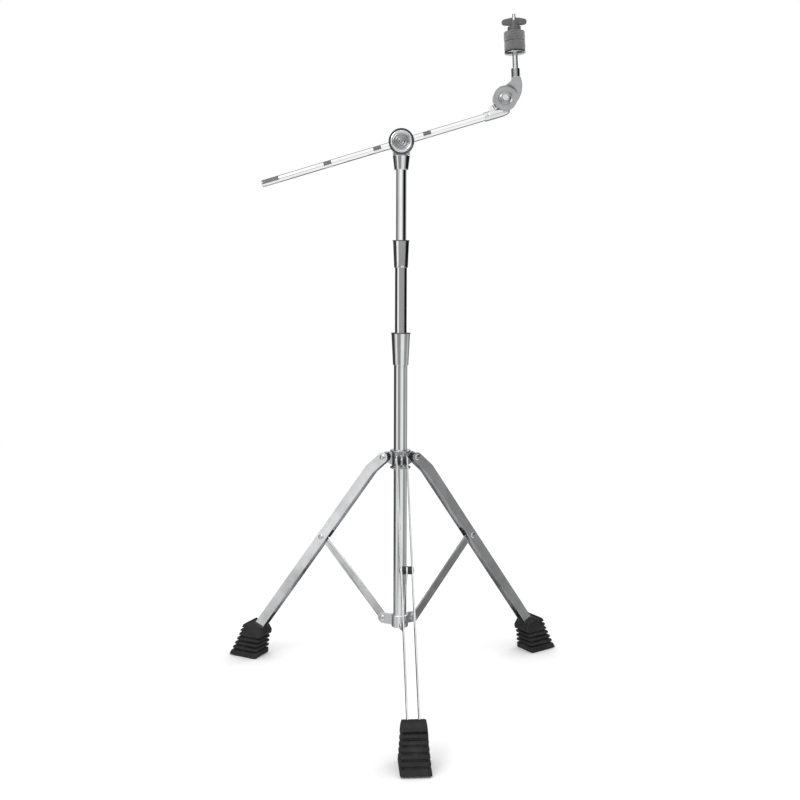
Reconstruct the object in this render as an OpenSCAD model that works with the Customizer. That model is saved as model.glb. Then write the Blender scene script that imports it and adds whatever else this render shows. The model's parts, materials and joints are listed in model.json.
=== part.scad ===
// Cymbal boom stand: a folding tripod, a three-stage tube mast, a boom arm on a
// ratchet tilter, and a cymbal seat on a second tilter at the end of the boom.
// Millimetres. +Z is up. The origin is on the floor under the mast's axis.
// The boom lies in the XZ plane and rises towards +X.

/* [Mast] */
// Outer diameter of the lower tube
lower_tube_d = 25.4; // [24:0.1:26]
// Outer diameter of the middle tube
middle_tube_d = 22.2; // [21:0.1:22.4]
// Outer diameter of the upper tube
upper_tube_d = 19.05; // [18:0.05:19.2]
// Wall of all three tubes
tube_wall = 1.2; // [1:0.1:1.3]
// Height of the lower tube's bottom end above the floor
lower_tube_bottom = 115; // [114:0.5:116]
// Height of the top of the lower height collar
lower_collar_top = 676; // [640:1:700]
// Height of the top of the upper height collar
upper_collar_top = 846; // [820:1:860]
// Length of the middle tube
middle_tube_length = 470; // [420:5:500]
// Length of the upper tube
upper_tube_length = 440; // [400:5:450]

/* [Tripod] */
// Turn of the tripod about the mast, from a front leg that points at -Y
leg_turn = 4; // [0:1:10]
// Distance from the mast's axis to a leg's top pivot
leg_pivot_r = 32; // [31:0.5:34]
// Height of the legs' top pivots
leg_pivot_z = 440; // [430:1:450]
// Distance from the mast's axis to a brace's pin on its leg
brace_pin_r = 168; // [160:1:176]
// Height of the braces' pins on the legs
brace_pin_z = 270.5; // [262:0.5:278]
// Distance from the mast's axis to a brace's lower pivot
brace_pivot_r = 35; // [34:0.5:37]
// Height of the braces' lower pivots
brace_pivot_z = 125; // [120:1:130]
// Width of a leg bar
leg_bar_w = 19; // [17:0.5:20]
// Thickness of a leg bar
leg_bar_t = 2.4; // [2:0.1:3]
// Distance over the outsides of a leg's two bars
leg_bars_over = 22; // [20:0.5:24]
// Slope of a leg above its bend, from the horizontal
leg_slope_top = 41; // [40:0.5:44]
// Slope of a leg below its bend, from the horizontal
leg_slope = 53.4; // [52:0.2:55]
// Distance from a leg's top pivot to its bend
leg_bend_at = 38; // [36:1:40]

/* [Feet] */
// Distance from the mast's axis to a foot's inner edge at the floor
foot_in_r = 318; // [315:1:320]
// Distance from the mast's axis to a foot's outer edge at the floor
foot_out_r = 384; // [382:1:388]
// Width of a foot at the floor
foot_w = 51; // [48:1:54]
// Height of a foot's top ridge
foot_h = 72; // [70:1:76]

/* [Boom] */
// Height of the boom's tilt axis
tilt_z = 1022; // [1018:1:1030]
// Rise of the boom from the horizontal
boom_angle = 16.5; // [0:0.5:25]
// Diameter of the boom rod
boom_d = 12.7; // [12:0.1:12.8]
// Length of the boom rod behind the tilt axis
boom_back = 265; // [200:5:300]
// Length of the boom rod in front of the tilt axis
boom_front = 180; // [178:1:181]
// Diameter of the tilter's round front cap
cap_d = 46.5; // [43:0.5:47]

/* [Cymbal seat] */
// Lean of the cymbal rod from the vertical, towards the mast
rod_lean = 2.75; // [0:0.25:6]
// Diameter of the felts
felt_d = 37.5; // [34:0.5:40]
// Thickness of one felt
felt_t = 17.2; // [14:0.2:17.4]
// Diameter of the cymbal rod's thread
thread_d = 8; // [7.8:0.1:8]

/* [Hidden] */
$fn = 64;

run = 0.05;             // radial clearance of a turning or sliding fit
gap = 0.1;              // clearance between faces that rest on each other
seat = 0.02;            // radial clearance of a fixed fit
eps = 1;                // overlap that lets one cut run clear of a face
front_leg = -90 + leg_turn;
right_leg = front_leg + 120;
left_leg = front_leg + 240;

// Height collars
collar_h = 60;          // lower collar, over its bush flange
flange_t = 1.2;         // bush flange
lower_collar_r = 17.6;
upper_collar_r = 15;
flange_over = 0.9;      // a bush flange stands this far over its collar's rim
bush_h = 20;            // bush below its flange
bush_wall = 1.9;
lock_d = 8;             // shank of every wing bolt
lock_gap = 0.4;         // from a wing bolt's tip to the tube or bush it clamps
lock_reach = 4.6;       // from a collar's rim to the wing bolt's hub, with the gap at its tip
lock_span = 34;         // over the wings
upper_collar_h = 50;
neck_drop = 49;
neck_bottom = tilt_z - neck_drop;

// Leg collar
leg_collar_z0 = 421;
leg_collar_z1 = 456;
leg_rim_r = 19.5;
leg_pin_d = 8;
ear_t = 4;
bar_mid = leg_bars_over / 2 - leg_bar_t / 2;
bar_inside = leg_bars_over / 2 - leg_bar_t;

// Braces and their bracket
bracket_z0 = 113;
bracket_z1 = 137;
bracket_h = bracket_z1 - bracket_z0;
bracket_r = 16;
bracket_ear_r = 10.5;
brace_w = 16;
brace_t = 3;
brace_pin_d = 7;
brace_ear_t = 3;
rivet_d = 6;

// Legs, as points in the plane of a leg: distance from the mast, height
leg_top = [leg_pivot_r, leg_pivot_z];
leg_bend = leg_top + leg_bend_at * [cos(leg_slope_top), -sin(leg_slope_top)];
brace_pin = [brace_pin_r, brace_pin_z];
leg_end_past_pin = 296;
leg_end = brace_pin + leg_end_past_pin * [cos(leg_slope), -sin(leg_slope)];

// Boom tilter: a stack along Y, from the cap in front to the wing nut behind
boom_y = -5.5;          // the boom's axis
cap_y0 = -21;
drum_y0 = -17;
drum_y1 = 6;
tooth_h = 1.4;
teeth = 20;
lug_y0 = drum_y1 + tooth_h + gap + tooth_h;
lug_y1 = 14.6;
drum_r = cap_d / 2 - 1;
neck_h = neck_drop - drum_r - 2 * gap;
liner_r = 7.6;
eye_r = 10.2;
eye_t = 9;
washer_t = 1.6;

// Cymbal tilter: the hinge, in the boom's own frame (along, above)
hinge_x = 201.4;
hinge_up = 21.6;
hinge_r = 22;
socket_x0 = 156.5;
socket_r = 8.2;
plate_t = 8.4;
hinge_pin_d = 6;
hinge_x_world = hinge_x * cos(boom_angle) - hinge_up * sin(boom_angle);
hinge_z_world = tilt_z + hinge_x * sin(boom_angle) + hinge_up * cos(boom_angle);

// Cymbal seat: heights above the hinge along the rod, in the arm's frame
seat_x = 20.9;          // the rod's offset from the hinge
arm_socket_r = 7.9;
arm_socket_z0 = 27;
arm_socket_z1 = 52;
rod_depth = 16;         // of the rod in the arm's socket
shoulder_d = 10;        // the rod below the cup washer, which rests on its shoulder
cup_z = 76.8;
cup_rim_z = 79.4;
cup_r = 19;
rubber_t = 2;
pilot_r = 3;            // the plain tip that starts the nut
pilot_h = 5;
rod_tip_z = 147;
sleeve_r = 5.5;
nut_flange_h = 7.8;
nut_wing_h = 16.9;

// ---------------------------------------------------------------- helpers

// A tube or a bored disc along +Z
module ring(r_out, r_in, h) {
    difference() {
        cylinder(r = r_out, h = h);
        translate([0, 0, -eps]) cylinder(r = r_in, h = h + 2 * eps);
    }
}

// A cylinder along +Y from y0 to y1
module rod_y(r, y0, y1) {
    translate([0, y0, 0]) rotate([-90, 0, 0]) cylinder(r = r, h = y1 - y0);
}

// A flat outline drawn in (x, z) and given thickness from y0 to y1
module plate_y(y0, y1) {
    translate([0, y1, 0]) rotate([90, 0, 0]) linear_extrude(y1 - y0) children();
}

// A flat strip between two points, with round ends
module strip(p, q, w) {
    step = q - p;
    translate(p) rotate(atan2(step[1], step[0])) translate([0, -w / 2]) square([norm(step), w]);
    translate(p) circle(d = w);
    translate(q) circle(d = w);
}

// A rectangle with round corners, centred on y = 0
module rounded_rect(x0, x1, w, r) {
    translate([x0 + r, -w / 2]) square([x1 - x0 - 2 * r, w]);
    translate([x0, r - w / 2]) square([x1 - x0, w - 2 * r]);
    for (x = [x0 + r, x1 - r], y = [r - w / 2, w / 2 - r]) translate([x, y]) circle(r = r);
}

// Turns a leg's own plane, with the leg along +X, to where the leg stands
module on_leg(angle) {
    rotate([0, 0, angle]) children();
}

// A rivet head on the +Y side of a face at y
module rivet_head(r, y, h) {
    rod_y(r, y, y + h * 0.5);
    rod_y(r * 0.78, y + h * 0.5, y + h);
}

// Wings of a wing bolt or wing nut, in the YZ plane, rising along +Y from y = 0
module wings(span, h, t) {
    tip_r = h * 0.32;
    rotate([90, 0, 90]) translate([0, 0, -t / 2]) linear_extrude(t) {
        for (side = [-1, 1]) {
            translate([h * 0.68, side * (span / 2 - tip_r)]) circle(r = tip_r);
            polygon([[h * 0.1, 0], [h * 0.1, side * span * 0.18],
                [h * 0.42, side * (span / 2 - tip_r * 0.6)],
                [h, side * (span / 2 - tip_r)], [h * 0.75, side * span * 0.16], [h * 0.75, 0]]);
        }
    }
}

// A wing bolt along +Y, its shank's tip at y = 0
module wing_bolt(shank, span) {
    hub_r = 6.5;
    rod_y(lock_d / 2, 0, shank + 1);
    rod_y(hub_r, shank, shank + 5);
    rod_y(hub_r * 0.8, shank + 5, shank + 9);
    translate([0, shank + 2, 0]) wings(span, 16, 4);
}

// A height collar: an inverted cone with a boss for its wing bolt behind
module height_collar(top_z, h, r_top, r_bottom, tube_r, bush_r, boss_z) {
    z0 = top_z - h;
    z1 = top_z - flange_t - gap;
    difference() {
        union() {
            translate([0, 0, z0])
                rotate_extrude() polygon([[0, 0], [r_bottom, 0], [r_top, z1 - z0], [0, z1 - z0]]);
            translate([0, 0, boss_z]) rod_y(7.5, 0, r_top + 4);
        }
        translate([0, 0, z0 - eps]) cylinder(r = tube_r + seat, h = h);
        translate([0, 0, z1 - bush_h - gap]) cylinder(r = bush_r + run, h = bush_h + gap + eps);
        translate([0, 0, boss_z]) rod_y(lock_d / 2 + run, 0, r_top + 4 + eps);
    }
}

// The plastic bush in a height collar: it turns in the collar and guides the next tube
module collar_bush(top_z, flange_r, bush_r, tube_r) {
    bore = tube_r + run;
    translate([0, 0, top_z - flange_t - bush_h]) rotate_extrude()
        polygon([[bore, 0], [bush_r, 0], [bush_r, bush_h], [flange_r, bush_h],
            [flange_r, bush_h + flange_t], [bore, bush_h + flange_t]]);
}

// ---------------------------------------------------------------- base

lower_r = lower_tube_d / 2;
middle_r = middle_tube_d / 2;
upper_r = upper_tube_d / 2;
lower_bush_r = middle_r + bush_wall;
upper_bush_r = upper_r + bush_wall;
lower_tube_top = lower_collar_top - flange_t - bush_h - 3 * gap;
middle_tube_top = upper_collar_top - flange_t - bush_h - 3 * gap;
lower_boss_z = lower_collar_top - 14;
upper_boss_z = upper_collar_top - 13;

module lower_tube() {
    color("silver") translate([0, 0, lower_tube_bottom])
        ring(lower_r, lower_r - tube_wall, lower_tube_top - lower_tube_bottom);
}

module tube_end_plug() {
    plug_h = 14;
    rim_t = 1.8;
    color("#202020") translate([0, 0, lower_tube_bottom - gap]) rotate_extrude()
        polygon([[0, -rim_t], [lower_r - gap, -rim_t], [lower_r - gap, 0], [lower_r - tube_wall - seat, 0],
            [lower_r - tube_wall - seat, plug_h], [0, plug_h]]);
}

// A sleeve on the tube's foot with one ear beside each brace
module brace_bracket() {
    ear_y0 = brace_t / 2 + gap + run;
    color("silver") difference() {
        union() {
            translate([0, 0, bracket_z0]) rotate_extrude() polygon([[0, 0], [bracket_r - 1, 0],
                [bracket_r, 1], [bracket_r, bracket_h - 1], [bracket_r - 1, bracket_h], [0, bracket_h]]);
            for (a = [front_leg, right_leg, left_leg]) on_leg(a) plate_y(ear_y0, ear_y0 + brace_ear_t) {
                polygon([[bracket_r - 4, bracket_z1 - 1], [brace_pivot_r, brace_pivot_z + bracket_ear_r],
                    [brace_pivot_r, brace_pivot_z - bracket_ear_r], [bracket_r - 4, bracket_z0 + 1]]);
                translate([brace_pivot_r, brace_pivot_z]) circle(r = bracket_ear_r);
            }
        }
        translate([0, 0, bracket_z0 - eps]) cylinder(r = lower_r + seat, h = bracket_h + 2 * eps);
        for (a = [front_leg, right_leg, left_leg]) on_leg(a)
            translate([brace_pivot_r, 0, brace_pivot_z]) rod_y(rivet_d / 2 + seat, 0, 10);
        for (a = [front_leg, left_leg]) rotate([0, 0, a + 60])
            translate([0, 0, bracket_z0 + bracket_h / 2]) rod_y(2, bracket_r - 8, bracket_r + eps);
    }
}

// Two screws that hold the bracket on the tube
module bracket_screws() {
    color("gray") for (a = [front_leg, left_leg]) rotate([0, 0, a + 60])
        translate([0, 0, bracket_z0 + bracket_h / 2]) {
            rod_y(2 - seat, lower_r + 3 * seat, bracket_r + 0.2);
            rod_y(3.4, bracket_r + seat, bracket_r + 1.8);
        }
}

// The rivets in the bracket's ears; each brace carries the other half of its rivet
module brace_pivot_rivets() {
    ear_y0 = brace_t / 2 + gap + run;
    color("silver") for (a = [front_leg, right_leg, left_leg]) on_leg(a)
        translate([brace_pivot_r, 0, brace_pivot_z]) {
            rod_y(rivet_d / 2, ear_y0, ear_y0 + brace_ear_t + seat);
            rivet_head(5.5, ear_y0 + brace_ear_t + seat, 2.2);
        }
}

module lower_height_collar() {
    color("silver") height_collar(lower_collar_top, collar_h, lower_collar_r, 14.6, lower_r,
        lower_bush_r, lower_boss_z);
}

module lower_collar_bush() {
    color("#202020") collar_bush(lower_collar_top, lower_collar_r + flange_over, lower_bush_r,
        middle_r);
}

module lower_collar_wing_bolt() {
    color("silver") translate([0, lower_bush_r + lock_gap, lower_boss_z])
        wing_bolt(lower_collar_r + lock_reach - lower_bush_r, lock_span);
}

// ---------------------------------------------------------------- tripod

module leg_collar() {
    h = leg_collar_z1 - leg_collar_z0;
    body_r = 15.8;
    rim_r = leg_rim_r;
    rim_t = 2.5;
    color("silver") difference() {
        union() {
            translate([0, 0, leg_collar_z0]) rotate_extrude() polygon([[0, 0], [rim_r - 0.6, 0],
                [rim_r, 0.6], [rim_r, rim_t], [body_r, rim_t + 2], [body_r, h - rim_t - 2],
                [rim_r, h - rim_t], [rim_r, h - 0.6], [rim_r - 0.6, h], [0, h]]);
            for (a = [front_leg, right_leg, left_leg]) on_leg(a) plate_y(-ear_t / 2, ear_t / 2) {
                polygon([[body_r - 2, leg_collar_z1 - 3], [leg_pivot_r, leg_pivot_z + 8],
                    [leg_pivot_r, leg_pivot_z - 8], [body_r - 2, leg_collar_z0 + 3]]);
                translate(leg_top) circle(r = 8);
            }
            rotate([0, 0, leg_turn]) translate([0, 0, leg_pivot_z - 3]) rod_y(7.5, 0, rim_r + 4);
        }
        translate([0, 0, leg_collar_z0 - eps]) cylinder(r = lower_r + run, h = h + 2 * eps);
        for (a = [front_leg, right_leg, left_leg]) on_leg(a)
            translate([leg_pivot_r, 0, leg_pivot_z]) rod_y(leg_pin_d / 2 + seat, -5, 5);
        rotate([0, 0, leg_turn]) translate([0, 0, leg_pivot_z - 3])
            rod_y(lock_d / 2 + run, 0, rim_r + 4 + eps);
    }
}

// One rivet through each ear, with a head outside each bar
module leg_pivot_rivets() {
    half = leg_bars_over / 2 + gap;
    color("silver") for (a = [front_leg, right_leg, left_leg]) on_leg(a)
        translate([leg_pivot_r, 0, leg_pivot_z]) {
            rod_y(leg_pin_d / 2, -half, half);
            rivet_head(6, half, 2.4);
            rotate([0, 0, 180]) rivet_head(6, half, 2.4);
        }
}

// Plastic spacers between an ear and the bars
module leg_pivot_spacers() {
    inner = ear_t / 2 + seat;
    outer = bar_inside - gap;
    color("#202020") for (a = [front_leg, right_leg, left_leg], side = [0, 180]) on_leg(a)
        translate([leg_pivot_r, 0, leg_pivot_z]) rotate([0, 0, side]) difference() {
            rod_y(7.8, inner, outer);
            rod_y(leg_pin_d / 2 + seat, 0, outer + eps);
        }
}

module leg_collar_wing_bolt() {
    color("silver") rotate([0, 0, leg_turn]) translate([0, lower_r + lock_gap, leg_pivot_z - 3])
        wing_bolt(leg_rim_r + lock_reach - lower_r, lock_span);
}

// Points of half a turn, clockwise from a start angle, that round off the end of a bar
function bar_end(centre, start) =
    [for (a = [0 : 15 : 180]) centre + leg_bar_w / 2 * [cos(start - a), sin(start - a)]];

// A leg bar's side view: round ends and a mitred bend
module leg_bar_outline() {
    turn = (leg_slope - leg_slope_top) / 2;
    mid = leg_slope_top + turn;
    bend = leg_bar_w / 2 / cos(turn) * [sin(mid), cos(mid)];
    polygon(concat([leg_bend + bend], bar_end(leg_end, 90 - leg_slope),
        [leg_bend - bend], bar_end(leg_top, 270 - leg_slope_top)));
}

// One flat bar of a leg: side is -1 or 1
module leg_bar(angle, side) {
    y0 = side * bar_mid - leg_bar_t / 2;
    color("silver") on_leg(angle) plate_y(y0, y0 + leg_bar_t) difference() {
        leg_bar_outline();
        translate(leg_top) circle(d = leg_pin_d + 2 * run);
        translate(brace_pin) circle(d = brace_pin_d + 2 * seat);
    }
}

module brace_pin_on(angle) {
    half = leg_bars_over / 2 + seat;
    color("silver") on_leg(angle) translate([brace_pin_r, 0, brace_pin_z]) {
        rod_y(brace_pin_d / 2, -half, half);
        rivet_head(5.6, half, 2.2);
        rotate([0, 0, 180]) rivet_head(5.6, half, 2.2);
    }
}

module brace_spacers_on(angle) {
    inner = brace_t / 2 + run;
    outer = bar_inside - seat;
    color("#202020") for (side = [0, 180]) on_leg(angle)
        translate([brace_pin_r, 0, brace_pin_z]) rotate([0, 0, side]) difference() {
            rod_y(7, inner, outer);
            rod_y(brace_pin_d / 2 + seat, 0, outer + eps);
        }
}

// A flat brace from its pin on the leg to its pivot on the bracket
module brace_on(angle) {
    color("silver") on_leg(angle) plate_y(-brace_t / 2, brace_t / 2) difference() {
        strip([brace_pivot_r, brace_pivot_z], brace_pin, brace_w);
        translate(brace_pin) circle(d = brace_pin_d + 2 * run);
        translate([brace_pivot_r, brace_pivot_z]) circle(d = rivet_d + 2 * seat);
    }
}

// The brace's half of its lower rivet: a head, and a shank that ends flush
module brace_rivet_head_on(angle) {
    color("silver") on_leg(angle) translate([brace_pivot_r, 0, brace_pivot_z]) rotate([0, 0, 180]) {
        rod_y(rivet_d / 2, -brace_t / 2, brace_t / 2 + seat);
        rivet_head(5.5, brace_t / 2 + seat, 2.2);
    }
}

// A ribbed rubber boot on the ends of a leg's two bars: a sole, ribs, and a block round the bars
module foot_on(angle) {
    sole_h = 11;
    toe_lift = 3;
    ribs = 4;
    pitch = 9.6;
    groove_h = 4.4;
    groove_in = 4;
    ribs_top = sole_h + ribs * pitch;
    color("#1a1a1a") on_leg(angle) difference() {
        union() {
            linear_extrude(sole_h) rounded_rect(foot_in_r, foot_out_r, foot_w, 4);
            for (i = [0 : ribs - 1]) {
                z = sole_h + i * pitch;
                translate([0, 0, z - gap]) linear_extrude(groove_h + 2 * gap)
                    rounded_rect(foot_in(z) + groove_in, foot_out(z + pitch) - groove_in,
                        foot_wide(z) - 2 * groove_in, 2);
                translate([0, 0, z + groove_h]) linear_extrude(pitch - groove_h)
                    rounded_rect(foot_in(z), foot_out(z + groove_h), foot_wide(z), 3);
            }
            plate_y(-foot_wide(ribs_top) / 2, foot_wide(ribs_top) / 2) foot_block_outline(ribs_top - gap);
        }
        for (y = [-bar_mid, bar_mid]) plate_y(y - leg_bar_t / 2 - gap, y + leg_bar_t / 2 + gap)
            strip(brace_pin, leg_end, leg_bar_w + 2 * gap);
        plate_y(-foot_w, foot_w)
            polygon([[foot_out_r - 14, -eps], [foot_out_r + eps, -eps], [foot_out_r + eps, toe_lift]]);
    }
}

// A foot's inner and outer edge and its width at a height
function foot_in(z) = foot_in_r - 0.18 * z;
function foot_out(z) = foot_out_r - 0.5 * z;
function foot_wide(z) = foot_w - 0.16 * z;

// Side view of the block that grips the bars, above the ribs
module foot_block_outline(z) {
    polygon([[foot_in(z) - 1, z - 6], [foot_out(z), z], [foot_out(z) - 2, z + 7],
        [foot_out(z) - 13, foot_h - 4], [foot_in_r + 12, foot_h], [foot_in_r - 6, foot_h - 7],
        [foot_in_r - 12, foot_h - 19]]);
}

module front_leg_left_bar() { leg_bar(front_leg, -1); }
module front_leg_right_bar() { leg_bar(front_leg, 1); }
module front_brace_pin() { brace_pin_on(front_leg); }
module front_brace_spacers() { brace_spacers_on(front_leg); }
module front_foot() { foot_on(front_leg); }
module front_brace() { brace_on(front_leg); }
module front_brace_rivet_head() { brace_rivet_head_on(front_leg); }
module left_leg_left_bar() { leg_bar(left_leg, -1); }
module left_leg_right_bar() { leg_bar(left_leg, 1); }
module left_brace_pin() { brace_pin_on(left_leg); }
module left_brace_spacers() { brace_spacers_on(left_leg); }
module left_foot() { foot_on(left_leg); }
module left_brace() { brace_on(left_leg); }
module left_brace_rivet_head() { brace_rivet_head_on(left_leg); }
module right_leg_left_bar() { leg_bar(right_leg, -1); }
module right_leg_right_bar() { leg_bar(right_leg, 1); }
module right_brace_pin() { brace_pin_on(right_leg); }
module right_brace_spacers() { brace_spacers_on(right_leg); }
module right_foot() { foot_on(right_leg); }
module right_brace() { brace_on(right_leg); }
module right_brace_rivet_head() { brace_rivet_head_on(right_leg); }

// ---------------------------------------------------------------- mast

module middle_tube() {
    color("silver") translate([0, 0, middle_tube_top - middle_tube_length])
        ring(middle_r, middle_r - tube_wall, middle_tube_length);
}

module upper_height_collar() {
    color("silver") height_collar(upper_collar_top, upper_collar_h, upper_collar_r, 12.8, middle_r,
        upper_bush_r, upper_boss_z);
}

module upper_collar_bush() {
    color("#202020") collar_bush(upper_collar_top, upper_collar_r + flange_over, upper_bush_r,
        upper_r);
}

module upper_collar_wing_bolt() {
    color("silver") translate([0, upper_bush_r + lock_gap, upper_boss_z])
        wing_bolt(upper_collar_r + lock_reach - upper_bush_r, lock_span);
}

module upper_tube() {
    color("silver") translate([0, 0, neck_bottom + 20 - upper_tube_length])
        ring(upper_r, upper_r - tube_wall, upper_tube_length);
}

// ---------------------------------------------------------------- boom tilter

// The neck: a cone on the upper tube that rises into a toothed lug behind the drum
module tilter_neck() {
    bottom_r = 12.8;
    top_r = 15.8;
    lug_r = 20;
    color("silver") difference() {
        union() {
            translate([0, 0, neck_bottom]) rotate_extrude() polygon([[0, 0], [bottom_r, 0],
                [top_r, neck_h - 1], [top_r - 1, neck_h], [0, neck_h]]);
            plate_y(lug_y0, lug_y1) {
                translate([0, tilt_z]) circle(r = lug_r);
                translate([-top_r, neck_bottom + neck_h - 4])
                    square([2 * top_r, tilt_z - neck_bottom - neck_h]);
            }
            translate([0, 0, tilt_z]) rod_y(17, lug_y0 - tooth_h, lug_y0 + eps);
        }
        translate([0, 0, neck_bottom - eps]) cylinder(r = upper_r + seat, h = 20.2 + eps);
        translate([0, 0, tilt_z]) rod_y(4 + run, 0, lug_y1 + eps);
        translate([0, 0, neck_bottom + 9]) rod_y(2, 0, top_r);
        translate([0, 0, tilt_z]) tooth_slots(lug_y0 - tooth_h, 0);
    }
}

// Radial slots that leave a ring of ratchet teeth on a face, from y inwards
module tooth_slots(y, first) {
    for (i = [0 : teeth - 1]) rotate([0, first + i * 360 / teeth, 0])
        translate([9, y - eps, -0.8]) cube([9.5, tooth_h + eps, 1.6]);
}

module tilter_neck_pin() {
    color("gray") translate([0, 0, neck_bottom + 9]) rod_y(2 - seat, upper_r + 3 * seat, 13.3);
}

// The drum that turns on the lug; the boom crosses it in its liner
module boom_clamp_drum() {
    color("silver") translate([0, 0, tilt_z]) difference() {
        union() {
            rod_y(drum_r, drum_y0, drum_y1);
            rod_y(17, drum_y1 - eps, drum_y1 + tooth_h);
        }
        in_boom_frame() {
            translate([-40, 0, 0]) rotate([0, 90, 0]) cylinder(r = liner_r + run, h = 80);
            translate([-eye_t / 2 - gap, 0, 0]) rotate([0, 90, 0])
                cylinder(r = eye_r + gap, h = eye_t + 2 * gap);
            rod_y(4 + gap, 0, 30);
        }
        rotate([0, -boom_angle, 0]) translate([0, drum_y1 + tooth_h, 0]) mirror([0, 1, 0])
            tooth_slots(0, 180 / teeth);
    }
}

// The boom's own frame, seen from the tilt axis: +X along the boom, on the boom's axis
module in_boom_frame() {
    rotate([0, -boom_angle, 0]) translate([0, boom_y, 0]) children();
}

// The round cap on the drum's front, with plain rings turned into its face
module tilter_cap() {
    r = cap_d / 2;
    depth = drum_y0 - cap_y0 - seat;
    color("silver") translate([0, cap_y0, tilt_z]) rotate([-90, 0, 0]) rotate_extrude()
        polygon([[0, 1.2], [r * 0.62, 1.2], [r * 0.66, 1.8], [r * 0.7, 1.8], [r * 0.74, 0.6], [r * 0.8, 0],
            [r * 0.92, 0.4], [r, 1.6], [r, depth], [0, depth]]);
}

// The eye round the boom's liner, drawn back by the wing nut to lock boom and tilt
module boom_eye_bolt() {
    color("gray") translate([0, 0, tilt_z]) in_boom_frame() difference() {
        union() {
            translate([-eye_t / 2, 0, 0]) rotate([0, 90, 0]) cylinder(r = eye_r, h = eye_t);
            rod_y(4, liner_r + 1, 30 - boom_y);
        }
        translate([-20, 0, 0]) rotate([0, 90, 0]) cylinder(r = liner_r + run, h = 40);
    }
}

module tilter_washer() {
    color("gray") translate([0, lug_y1 + gap, tilt_z]) rotate([-90, 0, 0]) ring(9, 4 + run, washer_t);
}

module tilter_wing_nut() {
    y0 = lug_y1 + washer_t + 2 * gap;
    color("silver") translate([0, y0, tilt_z]) difference() {
        union() {
            rod_y(8, 0, 6);
            rod_y(6.5, 6, 11);
            translate([0, 3, 0]) wings(40, 20, 5);
        }
        rod_y(4 + run, -eps, 30);
    }
}

// ---------------------------------------------------------------- boom

// Nylon liner between the boom and the drum
module boom_liner() {
    color("#303030") translate([0, 0, tilt_z]) in_boom_frame()
        translate([-drum_r + 1, 0, 0]) rotate([0, 90, 0]) ring(liner_r, boom_d / 2 + run, 2 * drum_r - 2);
}

module boom_rod() {
    color("silver") translate([0, 0, tilt_z]) in_boom_frame() rotate([0, 90, 0]) rotate_extrude()
        polygon([[0, -boom_back], [boom_d / 2 - 1, -boom_back], [boom_d / 2, 1 - boom_back],
            [boom_d / 2, boom_front], [0, boom_front]]);
}

// The socket on the boom's end, with the rear half of the cymbal tilter
module cymbal_tilter_base() {
    socket_x1 = hinge_x + 2;
    color("silver") translate([0, 0, tilt_z]) in_boom_frame() difference() {
        union() {
            translate([socket_x0, 0, 0]) rotate([0, 90, 0])
                cylinder(r = socket_r, h = socket_x1 - socket_x0);
            plate_y(gap, plate_t) {
                translate([hinge_x, hinge_up]) circle(r = hinge_r);
                polygon([[socket_x0 + 12, 4], [hinge_x - 30, socket_r + 8], [hinge_x - 22, socket_r + 11],
                    [hinge_x, hinge_up]]);
            }
            plate_y(-3, plate_t - 1)
                polygon([[hinge_x - 37, 4], [hinge_x - 31, socket_r + 8], [hinge_x - 25, socket_r + 8],
                    [hinge_x - 22, 4]]);
        }
        translate([hinge_x, 0, hinge_up]) rod_y(hinge_r + 0.4, -30, gap);
        translate([socket_x0 - eps, 0, 0]) rotate([0, 90, 0])
            cylinder(r = boom_d / 2 + seat, h = boom_front - socket_x0 + gap + eps);
        translate([hinge_x, 0, hinge_up]) rod_y(hinge_pin_d / 2 + seat, 0, 30);
        translate([socket_x0 + 7, 0, 1.5]) rod_y(1.8, -20, -5);
    }
}

module tilter_set_screw() {
    color("#202020") translate([0, 0, tilt_z]) in_boom_frame()
        translate([socket_x0 + 7, 0, 1.5]) rod_y(1.8 - seat, -socket_r - 0.3, -boom_d / 2 - seat);
}

// ---------------------------------------------------------------- cymbal seat

// The arm's frame: its origin on the hinge, +Z along the cymbal rod
module in_arm_frame() {
    translate([hinge_x_world, boom_y, hinge_z_world]) rotate([0, -rod_lean, 0]) children();
}

module cymbal_tilter_bolt() {
    color("gray") in_arm_frame() {
        rod_y(hinge_pin_d / 2, -plate_t - gap, plate_t + 13);
        translate([0, -plate_t - gap - 4, 0]) rotate([-90, 0, 0]) cylinder(r = 5.8, h = 4, $fn = 6);
    }
}

module cymbal_tilter_wing_nut() {
    color("silver") in_arm_frame() translate([0, plate_t + gap, 0]) difference() {
        union() {
            rod_y(6.5, 0, 8);
            translate([0, 2, 0]) wings(32, 13, 4);
        }
        rod_y(hinge_pin_d / 2 + run, -eps, 30);
    }
}

// The front half of the cymbal tilter, curving up to the cymbal rod's socket
module cymbal_tilter_arm() {
    curve_x = -15;
    curve_z = 21;
    curve_r = 46;
    color("silver") in_arm_frame() difference() {
        union() {
            plate_y(-plate_t, -gap) {
                circle(r = hinge_r);
                arm_outline(curve_x, curve_z, curve_r);
            }
            difference() {
                plate_y(-plate_t + 0.6, plate_t - 0.6) arm_outline(curve_x, curve_z, curve_r);
                rod_y(hinge_r + 0.4, -gap - eps, 30);
            }
            translate([seat_x, 0, arm_socket_z0])
                cylinder(r = arm_socket_r, h = arm_socket_z1 - arm_socket_z0);
        }
        rod_y(hinge_pin_d / 2 + run, -30, 30);
        translate([seat_x, 0, arm_socket_z1 - rod_depth])
            cylinder(r = shoulder_d / 2 + seat, h = rod_depth + eps);
    }
}

// The arm's side view from the hinge disc to the rod's socket
module arm_outline(curve_x, curve_z, curve_r) {
    intersection() {
        translate([curve_x, curve_z]) circle(r = curve_r, $fn = 96);
        polygon([[-10, 14], [seat_x - arm_socket_r, 31], [seat_x - arm_socket_r, 36],
            [seat_x + arm_socket_r + 4, 36], [seat_x + 16, -8], [6, -6]]);
    }
}

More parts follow.
